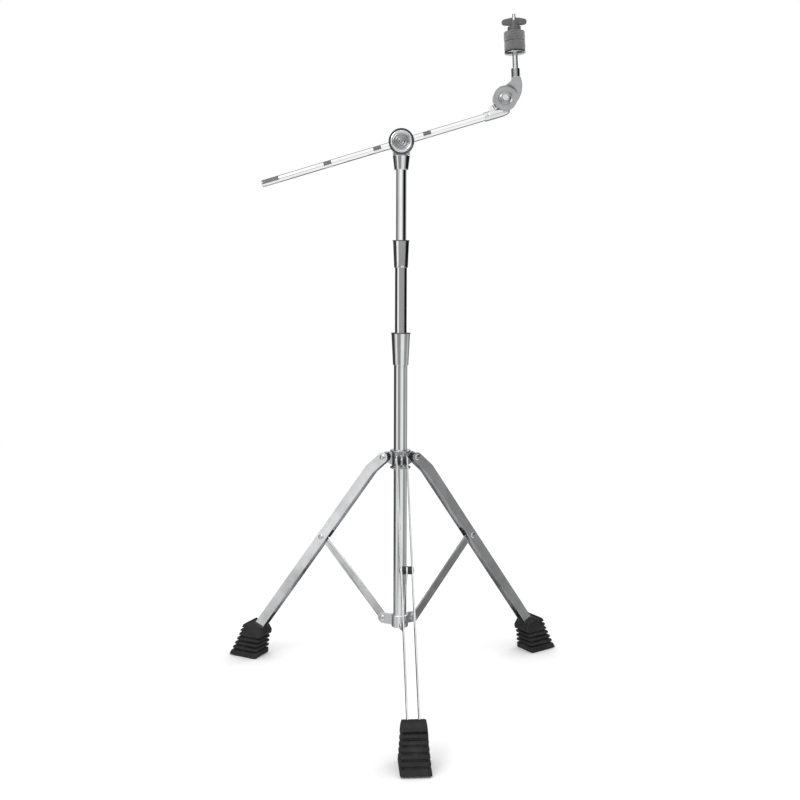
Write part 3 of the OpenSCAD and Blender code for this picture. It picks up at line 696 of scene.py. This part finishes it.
def leg_axes(side):
    """A leg's level direction out from the mast, and the level direction across it."""
    _, across = pivot(side + "_leg_fold")
    out = points_of(side + "_foot").mean(axis=0)
    across = across if across.cross(Vector((0, 0, 1))).dot(Vector((out[0], out[1], 0))) > 0 else -across
    return across.cross(Vector((0, 0, 1))).normalized(), across


def half_rivet(bm, points, out, across):
    """Half a rivet with its domed head at its far end: shank and head from a CAD node's points."""
    rel = points @ np.array(across)
    near = rel.min() if abs(rel.min()) < abs(rel.max()) else rel.max()
    far = rel.max() if near == rel.min() else rel.min()
    level = points @ np.array(out)
    height = (points[:, 2].min() + points[:, 2].max()) / 2
    mid = Vector((0, 0, height)) + out * ((level.min() + level.max()) / 2)
    direction = across * (1 if far > near else -1)
    head = 2.2 * MM
    length = abs(far - near) - head
    matrix = placed(mid + across * near, direction)
    shank = 2.98 * MM
    lathe(bm, [(0, 0), (shank, 0), (shank, length)] + dome(5.5 * MM, head, length), matrix, 40)


def build_brace_rivets():
    """Domed heads on both halves of the braces' lower rivets."""
    ears = points_of("brace_pivot_rivets")
    bm = bmesh.new()
    for side in SIDES:
        out, across = leg_axes(side)
        level = ears @ np.array(out)
        half_rivet(bm, ears[level > 0.75 * level.max()], out, across)
    smooth(new_piece("brace_pivot_rivets", "domed", bm), 40)
    for side in SIDES:
        out, across = leg_axes(side)
        node = side + "_brace_rivet_head"
        bm = bmesh.new()
        half_rivet(bm, points_of(node), out, across)
        smooth(new_piece(node, "domed", bm), 40)


def softened_copy(node, voxel, rounds, material, reshape):
    """A CAD node's shape with cast edges: remeshed, relaxed and reshaped where asked, as its own piece."""
    bm = bmesh.new()
    bm.from_mesh(NODES[node].data)
    bmesh.ops.remove_doubles(bm, verts=bm.verts, dist=SAME_POINT)
    bm = remeshed(bm, voxel, rounds)
    drop_crumbs(bm)
    if reshape:
        reshape(bm)
    return new_piece(node, "cast", bm, material)


def rounded_ring(bm, place, u0, u1, half, z, r, steps=4):
    """A level ring: a rectangle from u0 to u1 and half a width to each side, with round corners."""
    ring = []
    corners = ((u1 - r, half - r, 0), (u0 + r, half - r, 1), (u0 + r, r - half, 2), (u1 - r, r - half, 3))
    for u, v, quarter in corners:
        for k in range(steps + 1):
            a = math.pi / 2 * (quarter + k / steps)
            ring.append(bm.verts.new(place(u + r * math.cos(a), v + r * math.sin(a), z)))
    return ring


# A rubber foot, in mm: its sole's height, the number and pitch of its plates, the grooves between
# them, and a groove's depth on the outer face, where it would reach the leg's bars.
SOLE = 11
PLATES = 4
PLATE_PITCH = 9.6
GROOVE = 6.2
OUTER_GROOVE = 3.9
# How much further in the foot's inner face, outer face and sides lie per unit of height.
LEAN_INNER = -0.18
LEAN_OUTER = 0.5
LEAN_SIDE = 0.08
TOE_RISE = 3 * MM
TOE_LENGTH = 16 * MM


def foot_rings(u0, u1, half):
    """A foot's skin as level rings: a sole, then plates parted by sharp grooves."""
    rings = [(0, 0.8), (0.9, 0), (SOLE - 0.8, 0), (SOLE, 0.6)]
    for i in range(PLATES):
        z = SOLE + i * PLATE_PITCH
        top = z + PLATE_PITCH
        rings += [(z + 2.1, GROOVE), (z + 4.6, 0.7), (z + 5.3, 0), (top - 0.8, 0), (top, 0.7)]
    shape = []
    for z, inset in rings:
        h = z * MM
        inner = u0 + LEAN_INNER * h + inset * MM
        outer = u1 - LEAN_OUTER * h - min(inset, OUTER_GROOVE) * MM
        shape.append((inner, outer, half - LEAN_SIDE * h - inset * MM, h))
    return shape


def foot_block(bm, place, u0, u1, half, z, top):
    """The faceted block above the ribs that grips the bars, with two more ribs up its outer face."""
    inner = u0 + LEAN_INNER * z
    outer = u1 - LEAN_OUTER * z
    side = half - LEAN_SIDE * z
    block = [(inner - 1 * MM, z - 5 * MM, 0), (outer - 4 * MM, z, 0), (outer - 8 * MM, z + 7 * MM, 0),
             (outer - 16 * MM, top - 3 * MM, 1.5), (u0 + 12 * MM, top, 1.5),
             (u0 - 6 * MM, top - 7 * MM, 2.5), (u0 - 12 * MM, top - 19 * MM, 1)]
    middle = outer - 18 * MM
    low_rib = [(middle, z + 4.4 * MM, 0.5), (outer - 2 * MM, z + 4.4 * MM, 0.5),
               (outer - 4.5 * MM, z + 9 * MM, 0.8), (middle, z + 9 * MM, 0.8)]
    cap = [(middle, z + 13 * MM, 0.8), (outer - 6 * MM, z + 13 * MM, 0.8),
           (outer - 9 * MM, z + 18 * MM, 1), (outer - 15 * MM, top, 1.5), (middle, top, 1.5)]
    for outline in (block, low_rib, cap):
        hull_of(bm, [place(u, s * (side - narrow * MM), h) for u, h, narrow in outline for s in (-1, 1)])


def bar_tool(node, grow):
    """A CAD node's solid, grown a little, as a cutting shape."""
    bm = bmesh.new()
    bm.from_mesh(NODES[node].data)
    bmesh.ops.remove_doubles(bm, verts=bm.verts, dist=SAME_POINT)
    bm.normal_update()
    for v in bm.verts:
        v.co += v.normal * grow
    return bm


def build_feet():
    """Rubber boots: a sole with a raised toe, thin plates, a faceted block, and a rough moulded skin."""
    for k, side in enumerate(SIDES):
        node = side + "_foot"
        out, across = leg_axes(side)
        points = points_of(node)
        level = points @ np.array(out)
        low = points[:, 2] < 10 * MM
        u0 = level[low].min()
        u1 = level.max()
        half = np.abs(points[low] @ np.array(across)).max()
        top = points[:, 2].max()

        def place(u, v, z):
            return out * u + across * v + Vector((0, 0, z))
        bm = bmesh.new()
        rings = [rounded_ring(bm, place, *ring, 3.5 * MM) for ring in foot_rings(u0, u1, half)]
        for below, above in zip(rings, rings[1:]):
            join_rings(bm, below, above, len(below))
        bm.faces.new(list(reversed(rings[0])))
        bm.faces.new(rings[-1])
        foot_block(bm, place, u0, u1, half, (SOLE + PLATES * PLATE_PITCH) * MM, top)
        bm = remeshed(bm, 0.65 * MM, 1)
        for v in bm.verts:
            rough = noise.fractal(v.co * 260 + Vector((k, 0, 0)), 0.7, 2.1, 3)
            v.co += v.normal * rough * 0.16 * MM
            toe = TOE_RISE * (v.co.dot(out) - u1 + TOE_LENGTH) / TOE_LENGTH
            v.co.z = max(v.co.z, toe, 0.0)
        foot = new_piece(node, "moulded", bm)
        for bar in ("left_bar", "right_bar"):
            subtract(foot, bar_tool("%s_leg_%s" % (side, bar), 0.1 * MM))
        smooth(foot, 45)


def domed_cheek(bm):
    """Crowns the tilter arm's front face, and turns a groove round its bolt."""
    origin, axis = pivot("cymbal_tilt")
    axis = axis if axis.y > 0 else -axis
    rel = [(v, v.co - origin) for v in bm.verts]
    face = min(r.dot(axis) for _, r in rel)
    crown = 0.7 * MM
    reach = 24 * MM
    skin = 2 * MM
    groove_r = 10.5 * MM
    groove_depth = 1.1 * MM
    groove_half = 2.2 * MM
    for v, r in rel:
        along = r.dot(axis)
        radius = (r - axis * along).length
        if along - face < skin and radius < reach:
            drop = crown * 4 * (radius / reach) ** 2 * (1 - (radius / reach) ** 2)
            groove = groove_depth * max(0, 1 - (abs(radius - groove_r) / groove_half) ** 2)
            v.co += axis * (drop + groove) * (1 - (along - face) / skin)


def round_nose(bm):
    """Curves the underside of the tilter's socket up to a rounded nose."""
    origin, axis = pivot("boom_roll")
    up = axis.cross(Vector((0, 1, 0)))
    nose = 17 * MM
    low = [v for v in bm.verts if (v.co - origin).dot(up) < 0]
    end = max((v.co - origin).dot(axis) for v in low)
    for v in low:
        rel = v.co - origin
        past = (rel.dot(axis) - end + nose) / (nose * 1.04)
        if past > 0:
            v.co -= up * rel.dot(up) * (1 - math.sqrt(1 - past * past))
            v.co.y -= rel.y * (1 - math.sqrt(1 - past * past)) * 0.5


def build_castings():
    """The cast pieces, with their fillets and softened corners."""
    for node, voxel, rounds, finish, reshape in (
            ("tilter_neck", 0.5, 4, "chrome_cone", None),
            ("boom_clamp_drum", 0.5, 4, "cast_chrome", None),
            ("leg_collar", 0.55, 4, "cast_chrome", None),
            ("cymbal_tilter_arm", 0.45, 5, "cast_satin", domed_cheek),
            ("cymbal_tilter_base", 0.45, 5, "chrome_cone", round_nose),
            ("brace_bracket", 0.5, 2, "chrome_cone", None)):
        piece = softened_copy(node, voxel * MM, rounds, finish, reshape)
        if node == "cymbal_tilter_arm":
            bore_again(piece, node)
        smooth(piece, 70)


def bore_again(piece, node):
    """Opens the tilter arm's bolt hole to its full width again, which softening narrows."""
    origin, axis = pivot("cymbal_tilt")
    start, end, bore, _ = measure(node, origin, axis)
    drill(piece, placed(origin, axis), bore, start - 1 * MM, end + 1 * MM)


def round_the_edges():
    """Broken edges on the pressed and turned CAD pieces."""
    for node in NODES:
        if node.endswith(("_bar", "_brace")):
            rounded(node, 0.55 * MM)
    for node in ("lower_height_collar", "upper_height_collar", "cup_washer", "tilter_washer",
                 "cymbal_tilter_bolt", "bracket_screws", "tilter_set_screw", "lower_collar_bush",
                 "upper_collar_bush"):
        rounded(node, 0.3 * MM)


def felt_ring(origin, axis, z0, z1, r_in, r_out):
    """A felt washer's shell with slightly crowned faces and a soft shoulder."""
    crown = 0.25 * MM
    edge = 1.0 * MM
    profile = [(r_in, z0 + 0.4 * MM), (r_in + 0.6 * MM, z0), (r_out - edge, z0)]
    for i in range(1, 6):
        a = math.pi / 2 * i / 6
        profile.append((r_out - edge + edge * math.sin(a), z0 + edge - edge * math.cos(a)))
    profile += [(r_out, z0 + edge), (r_out + crown, (z0 + z1) / 2), (r_out, z1 - edge)]
    for i in range(1, 6):
        a = math.pi / 2 * i / 6
        profile.append((r_out - edge + edge * math.cos(a), z1 - edge + edge * math.sin(a)))
    profile += [(r_out - edge, z1), (r_in + 0.6 * MM, z1), (r_in, z1 - 0.4 * MM)]
    bm = bmesh.new()
    lathe(bm, profile, placed(origin, axis), 72)
    return bm


def swollen(bm, voxel, pressure, frames, cap):
    """Cloth simulation of a pad: it swells under a little pressure, and no point moves past the cap."""
    bm = remeshed(bm, voxel, 2, "pad")
    mesh = bpy.data.meshes.new("pad")
    bm.to_mesh(mesh)
    obj = bpy.data.objects.new("pad", mesh)
    bpy.context.scene.collection.objects.link(obj)
    cloth = obj.modifiers.new("cloth", "CLOTH")
    cloth.settings.use_pressure = True
    cloth.settings.uniform_pressure_force = pressure
    cloth.settings.effector_weights.gravity = 0
    cloth.settings.tension_stiffness = 60
    cloth.settings.compression_stiffness = 60
    cloth.settings.bending_stiffness = 8
    cloth.settings.quality = 6
    for f in range(1, frames + 1):
        bpy.context.scene.frame_set(f)
    done = obj.evaluated_get(bpy.context.evaluated_depsgraph_get()).data
    for v, w in zip(bm.verts, done.vertices):
        move = w.co - v.co
        v.co += move * min(1, cap / max(move.length, 1e-9))
    bpy.data.objects.remove(obj)
    bpy.context.scene.frame_set(1)
    return bm


def matted(bm, fine, seed):
    """Pushes a pad's skin in and out as matted wool is, with low tufts."""
    bmesh.ops.subdivide_edges(bm, edges=bm.edges, cuts=1, use_grid_fill=True)
    bm.normal_update()
    shift = Vector((seed, seed * 0.37, seed * 0.71))
    for v in bm.verts:
        rough = noise.fractal(v.co * 520 + shift, 0.6, 2.2, 3)
        clump = noise.noise(v.co * 130 + shift)
        v.co += v.normal * (rough * fine + clump * fine * 0.8)


def build_felts():
    """The two felts over the sleeve, the upper one a little off centre, as felts sit."""
    origin, axis = pivot("cymbal_nut_turn")
    for k, node in enumerate(("lower_felt", "upper_felt")):
        z0, z1, r_in, r_out = measure(node, origin, axis)
        inset = 0.12 * MM
        offset = Vector((-0.3 * MM * k, 0, 0))
        bm = felt_ring(origin + offset, axis, z0 + inset / 2, z1 - inset / 2, r_in, r_out - inset)
        bm = swollen(bm, 1.1 * MM, 3.0, 14, 0.3 * MM)
        matted(bm, 0.09 * MM, 3.1 + 5 * k)
        piece = new_piece(node, "wool", bm)
        smooth(piece, 80)


# ---------------------------------------------------------------- stage, light and camera

# What the chrome mirrors round the horizon: (degrees clockwise from the camera's side, brightness).
# White cards, grey walls and black flags stand round the stand as they do in a product studio.
CARDS_HIGH = ((-180, 0.75), (-162, 0.6), (-150, 0.12), (-94, 0.16), (-86, 0.20), (-80, 0.55), (-42, 0.62),
              (-36, 1.0), (16, 1.0), (22, 0.52), (43, 0.48), (48, 0.0), (98, 0.0), (105, 0.25),
              (146, 0.15), (160, 0.6), (180, 0.75))
CARDS_MIDDLE = ((-180, 0.75), (-162, 0.6), (-150, 0.05), (-74, 0.05), (-67, 1.0), (-42, 1.0), (-37, 0.36),
                (68, 0.33), (72, 0.01), (148, 0.01), (160, 0.6), (180, 0.75))
CARDS_LOW = ((-180, 0.75), (-162, 0.6), (-150, 0.05), (-88, 0.06), (-80, 0.55), (-64, 0.80), (-50, 0.95),
             (-44, 0.32), (-4, 0.28), (4, 0.85), (44, 0.85), (50, 0.32), (86, 0.28), (94, 0.60),
             (140, 0.10), (160, 0.6), (180, 0.75))
CARDS_FLOOR = ((-180, 0.04), (-168, 0.04), (-160, 0.6), (-148, 0.24), (-110, 0.20), (-80, 0.42), (-68, 0.80),
               (-56, 0.55), (-30, 0.62), (-12, 0.95), (14, 0.95), (30, 0.50), (50, 0.24), (66, 0.16),
               (84, 0.42), (100, 0.20), (140, 0.14), (160, 0.6), (168, 0.04), (180, 0.04))


def ramp(tree, factor, cards):
    """A colour ramp round the horizon."""
    node = tree.nodes.new("ShaderNodeValToRGB")
    elements = node.color_ramp.elements
    elements.remove(elements[1])
    elements[0].position = 0
    elements[0].color = (cards[0][1],) * 3 + (1,)
    for degrees, level in cards[1:]:
        e = elements.new((degrees + 180) / 360)
        e.color = (level,) * 3 + (1,)
    tree.links.new(factor, node.inputs["Fac"])
    return node.outputs["Color"]


def blend_by(tree, value, start, end, low, high):
    """From low to high as a value goes from start to end."""
    span = tree.nodes.new("ShaderNodeMapRange")
    span.interpolation_type = "SMOOTHSTEP"
    span.inputs["From Min"].default_value = start
    span.inputs["From Max"].default_value = end
    tree.links.new(value, span.inputs["Value"])
    mix = tree.nodes.new("ShaderNodeMix")
    mix.data_type = "RGBA"
    tree.links.new(span.outputs["Result"], mix.inputs["Factor"])
    for socket, colour in (("A", low), ("B", high)):
        if isinstance(colour, float):
            mix.inputs[socket].default_value = (colour, colour, colour, 1)
        else:
            tree.links.new(colour, mix.inputs[socket])
    return mix.outputs["Result"]


def math_node(tree, operation, *values):
    """A sum on sockets and plain numbers."""
    node = tree.nodes.new("ShaderNodeMath")
    node.operation = operation
    for socket, value in zip(node.inputs, values):
        if isinstance(value, (int, float)):
            socket.default_value = value
        else:
            tree.links.new(value, socket)
    return node.outputs["Value"]


def by_ray(tree, ray, others, these):
    """One colour for a kind of ray, another colour for the others."""
    mix = tree.nodes.new("ShaderNodeMix")
    mix.data_type = "RGBA"
    tree.links.new(tree.nodes.new("ShaderNodeLightPath").outputs[ray], mix.inputs["Factor"])
    tree.links.new(others, mix.inputs["A"])
    if isinstance(these, float):
        mix.inputs["B"].default_value = (these, these, these, 1)
    else:
        tree.links.new(these, mix.inputs["B"])
    return mix.outputs["Result"]


def studio_cards(tree, x, y, z):
    """What mirrors see: four bands of cards by height, a ceiling above them and a ground below them."""
    turn = math_node(tree, "ARCTAN2", x, math_node(tree, "MULTIPLY", y, -1.0))
    around = math_node(tree, "MULTIPLY_ADD", turn, 1 / (2 * math.pi), 0.5)
    floor, low, middle, high = (ramp(tree, around, cards)
                                for cards in (CARDS_FLOOR, CARDS_LOW, CARDS_MIDDLE, CARDS_HIGH))
    cards = blend_by(tree, z, -0.31, -0.25, floor, low)
    cards = blend_by(tree, z, -0.08, -0.06, cards, middle)
    cards = blend_by(tree, z, 0.026, 0.046, cards, high)
    ceiling = blend_by(tree, y, 0.25, 0.5, 1.0, 0.10)
    cards = blend_by(tree, z, 0.35, 0.5, cards, ceiling)
    ground = blend_by(tree, y, 0.1, 0.35, 0.95, 0.12)
    return blend_by(tree, z, -0.62, -0.5, ground, cards)


def build_world():
    """White to the camera, soft from above for matt things, and studio cards for what mirrors."""
    world = bpy.data.worlds.new("studio")
    bpy.context.scene.world = world
    world.use_nodes = True
    tree = world.node_tree
    tree.nodes.clear()
    split = tree.nodes.new("ShaderNodeSeparateXYZ")
    tree.links.new(tree.nodes.new("ShaderNodeTexCoord").outputs["Generated"], split.inputs["Vector"])
    x, y, z = (split.outputs[k] for k in "XYZ")
    soft = blend_by(tree, z, -0.3, 0.9, 0.75, 1.1)
    mirrored = by_ray(tree, "Is Glossy Ray", soft, studio_cards(tree, x, y, z))
    seen = by_ray(tree, "Is Camera Ray", mirrored, 1.0)
    background = tree.nodes.new("ShaderNodeBackground")
    tree.links.new(seen, background.inputs["Color"])
    output = tree.nodes.new("ShaderNodeOutputWorld")
    tree.links.new(background.outputs["Background"], output.inputs["Surface"])


def build_floor():
    """A plain pale floor, just under the feet."""
    bm = bmesh.new()
    under = Matrix.Translation((0, 0, -0.3 * MM))
    bmesh.ops.create_circle(bm, cap_ends=True, segments=96, radius=3.5, matrix=under)
    mesh = bpy.data.meshes.new("floor")
    bm.to_mesh(mesh)
    bm.free()
    floor = bpy.data.objects.new("floor", mesh)
    bpy.context.scene.collection.objects.link(floor)
    s = Shader("floor")
    tone = s.noise(1.2, 2)
    paper = s.mix(s.spread(tone, 0, 1), (0.93, 0.93, 0.93), (0.95, 0.95, 0.95))
    s.link(paper, s.surface.inputs["Base Color"])
    s.set(Roughness=0.9, Specular_IOR_Level=0.1)
    mesh.materials.append(s.material)
    floor.visible_glossy = False


def area_light(name, place, target, size, power):
    """A round soft light that faces a target."""
    data = bpy.data.lights.new(name, "AREA")
    data.shape = "DISK"
    data.size = size
    data.energy = power
    light = bpy.data.objects.new(name, data)
    light.location = place
    light.rotation_euler = (Vector(target) - Vector(place)).to_track_quat("-Z", "Y").to_euler()
    bpy.context.scene.collection.objects.link(light)


def build_lights():
    """A soft key light at the front left and a weaker one behind."""
    middle = (0, 0, 0.6)
    area_light("key", (-1.6, -2.2, 2.6), middle, 1.6, 22)
    area_light("rim", (1.8, 1.6, 2.2), middle, 1.2, 10)


def build_camera():
    """The front view, a little from above, at a room's distance."""
    distance = 1.856
    height = 0.755
    look_down = 0.110
    roll = math.radians(-0.19)
    yaw = 0.0009
    data = bpy.data.cameras.new("camera")
    data.sensor_width = 36
    data.lens = 44.8
    data.clip_start = 0.05
    data.clip_end = 50
    cam = bpy.data.objects.new("camera", data)
    cam.location = (0, -distance, height)
    cam.rotation_euler = (math.pi / 2 - look_down, roll, yaw)
    bpy.context.scene.collection.objects.link(cam)
    bpy.context.scene.camera = cam
    bpy.context.scene.view_settings.view_transform = "Standard"


# ---------------------------------------------------------------- the stand

FINISHES = {"lower_height_collar": "chrome_cone", "upper_height_collar": "chrome_cone"}


def dress_cad_nodes():
    """Every carried-over CAD node gets its own finish or its slot's."""
    for name, obj in NODES.items():
        obj.data.materials.clear()
        obj.data.materials.append(MATERIALS[FINISHES.get(name, SLOT_OF[name])])


dress_cad_nodes()
build_boom_rod()
build_feet()
build_felts()
build_cap()
build_rivets()
build_brace_rivets()
build_wing_bolt("lower_collar_wing_bolt", "lower_lock_turn")
build_wing_bolt("upper_collar_wing_bolt", "upper_lock_turn")
build_wing_bolt("leg_collar_wing_bolt", "leg_lock_turn")
build_wing_nut("tilter_wing_nut", "boom_lock_turn",
               hub_r=8 * MM, span=40 * MM, h=20 * MM, t=6 * MM, base=3 * MM, bore=4.1 * MM)
build_wing_nut("cymbal_tilter_wing_nut", "cymbal_lock_turn",
               hub_r=6.5 * MM, span=32 * MM, h=13 * MM, t=5 * MM, base=2 * MM, bore=3.1 * MM)
build_cymbal_nut()
build_castings()
round_the_edges()
build_world()
build_floor()
build_lights()
build_camera()
